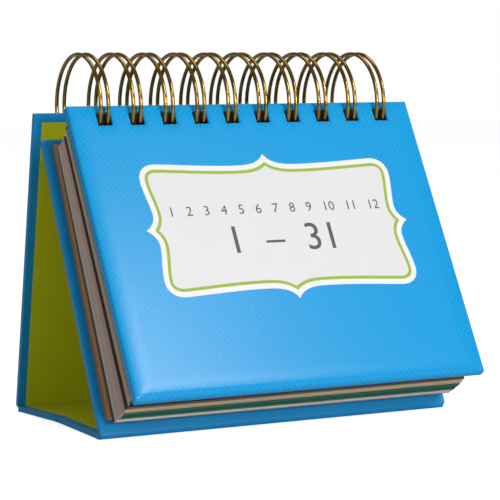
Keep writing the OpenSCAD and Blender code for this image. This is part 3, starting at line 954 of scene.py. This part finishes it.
def print_area(mesh, outlines, index):
    """A thin closed plate between outlines on the label, sunk into the pad's face."""
    start = len(mesh.faces)
    sides = []
    for depth in (-print_lift, print_sink):
        rings = [[mesh.verts.new((label_x + cover_left + p.x, depth, label_z + cover_foot + p.y))
                  for p in outline] for outline in outlines]
        edges = [mesh.edges.new((ring[k - 1], ring[k])) for ring in rings for k in range(len(ring))]
        bmesh.ops.triangle_fill(mesh, use_beauty=True, edges=edges, normal=(0, -1, 0))
        sides.append(rings)
    for front, back in zip(*sides):
        for k in range(len(front)):
            mesh.faces.new((front[k - 1], front[k], back[k], back[k - 1]))
    mesh.faces.ensure_lookup_table()
    for face in mesh.faces[start:]:
        face.material_index = index


white_print = laminated_paper("white_laminated_paper", "#FCFBFB", "#FEFEFE")
field_print = laminated_paper("pale_grey_print", "#F0EEEE", "#F3F1F2")
green_line = printing_ink("green_offset_ink", "#9DBB3A")
mesh = bmesh.new()
print_area(mesh, [bracket_outline(0), bracket_outline(line_inset)], 0)
print_area(mesh, [bracket_outline(line_inset), bracket_outline(line_inset + line_w)], 1)
print_area(mesh, [bracket_outline(line_inset + line_w)], 2)
label = finished("cover_label", mesh, on_cover, white_print, green_line, field_print)
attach(label, "cover")
grey_ink = printing_ink("dark_grey_offset_ink", "#55555C")
number_rows = (("1   2   3   4   5   6   7   8   9   10   11   12", 5.2, 6.6), ("1  –  31", 15.0, -5.4))
for count, (words, size, up) in enumerate(number_rows):
    middle = Vector((label_x + cover_left, -print_lift - ink_t / 2, label_z + cover_foot + up))
    row = finished(f"label_numbers_{count + 1}", text_mesh("numbers", words, size),
                   on_cover @ Matrix.Translation(middle) @ upright, grey_ink)
    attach(row, "cover")

# Floor, light and camera: a pale sweep, with a key and a front softbox to the right of the camera.
# A weaker softbox lifts the shade at the left, and one above and behind lights the loops and top edges.
# The camera stands where the photograph was taken from, a little above the table.
floor_half = 3
floor_drop = 0.0001
floor_glow = 0.85
room_light = 0.17
backdrop_light = 1.0
aim = Vector((0, 0.03, 0.06))
floor_mesh = bmesh.new()
bmesh.ops.create_grid(floor_mesh, x_segments=1, y_segments=1, size=floor_half)
floor_paper, tree, shader = new_material("pale_studio_paper", Roughness=0.7, Base_Color=linear("#D8D8D8"))
seen = add(tree, "ShaderNodeLightPath")
shader.inputs["Emission Color"].default_value = linear("#FFFFFF")
glow = add(tree, "ShaderNodeMath", {0: seen.outputs["Is Camera Ray"], 1: floor_glow}, operation="MULTIPLY")
tree.links.new(glow.outputs[0], shader.inputs["Emission Strength"])
floor = finished("floor", floor_mesh, Matrix.Translation((0, 0, -floor_drop)), floor_paper)

world = bpy.data.worlds.new("studio")
bpy.context.scene.world = world
world.use_nodes = True
sky = world.node_tree
sky.nodes.clear()
seen = add(sky, "ShaderNodeLightPath")
room = add(sky, "ShaderNodeBackground", {"Color": linear("#FFFFFF"), "Strength": room_light})
backdrop = add(sky, "ShaderNodeBackground", {"Color": linear("#FFFFFF"), "Strength": backdrop_light})
both = add(sky, "ShaderNodeMixShader",
           {0: seen.outputs["Is Camera Ray"], 1: room.outputs[0], 2: backdrop.outputs[0]})
add(sky, "ShaderNodeOutputWorld", {"Surface": both.outputs[0]})


def softbox(name, place, size, watts):
    """A square area light that faces the calendar's middle."""
    lamp = bpy.data.lights.new(name, "AREA")
    lamp.size = size
    lamp.energy = watts
    made = bpy.data.objects.new(name, lamp)
    made.location = place
    made.rotation_euler = (Vector(place) - aim).to_track_quat("Z", "Y").to_euler()
    bpy.context.scene.collection.objects.link(made)


softbox("key_softbox", (0.45, -0.98, 0.89), 0.42, 6)
softbox("front_softbox", (0.12, -1.28, 0.34), 0.3, 5.3)
softbox("left_softbox", (-1.1, -0.8, 0.45), 0.5, 2.1)
softbox("top_softbox", (0.0, 0.4, 1.4), 0.8, 3)

view_azimuth = math.radians(-29.395)
view_height = math.radians(5.094)
view_roll = math.radians(-0.065)
view_place = (-0.390434, -0.671953, 0.130969)
focal_mm = 159.31
sensor_mm = 36
backwards = Vector((math.sin(view_azimuth) * math.cos(view_height),
                    -math.cos(view_azimuth) * math.cos(view_height), math.sin(view_height)))
across = (-backwards).cross(Vector((0, 0, 1))).normalized()
upward = across.cross(-backwards)
rolled_across = across * math.cos(view_roll) + upward * math.sin(view_roll)
rolled_up = upward * math.cos(view_roll) - across * math.sin(view_roll)
lens = bpy.data.cameras.new("camera")
lens.lens = focal_mm
lens.sensor_width = sensor_mm
camera = bpy.data.objects.new("camera", lens)
camera.matrix_world = Matrix((rolled_across, rolled_up, backwards)).transposed().to_4x4()
camera.location = view_place
bpy.context.scene.collection.objects.link(camera)
bpy.context.scene.camera = camera
bpy.context.scene.view_settings.view_transform = "Standard"
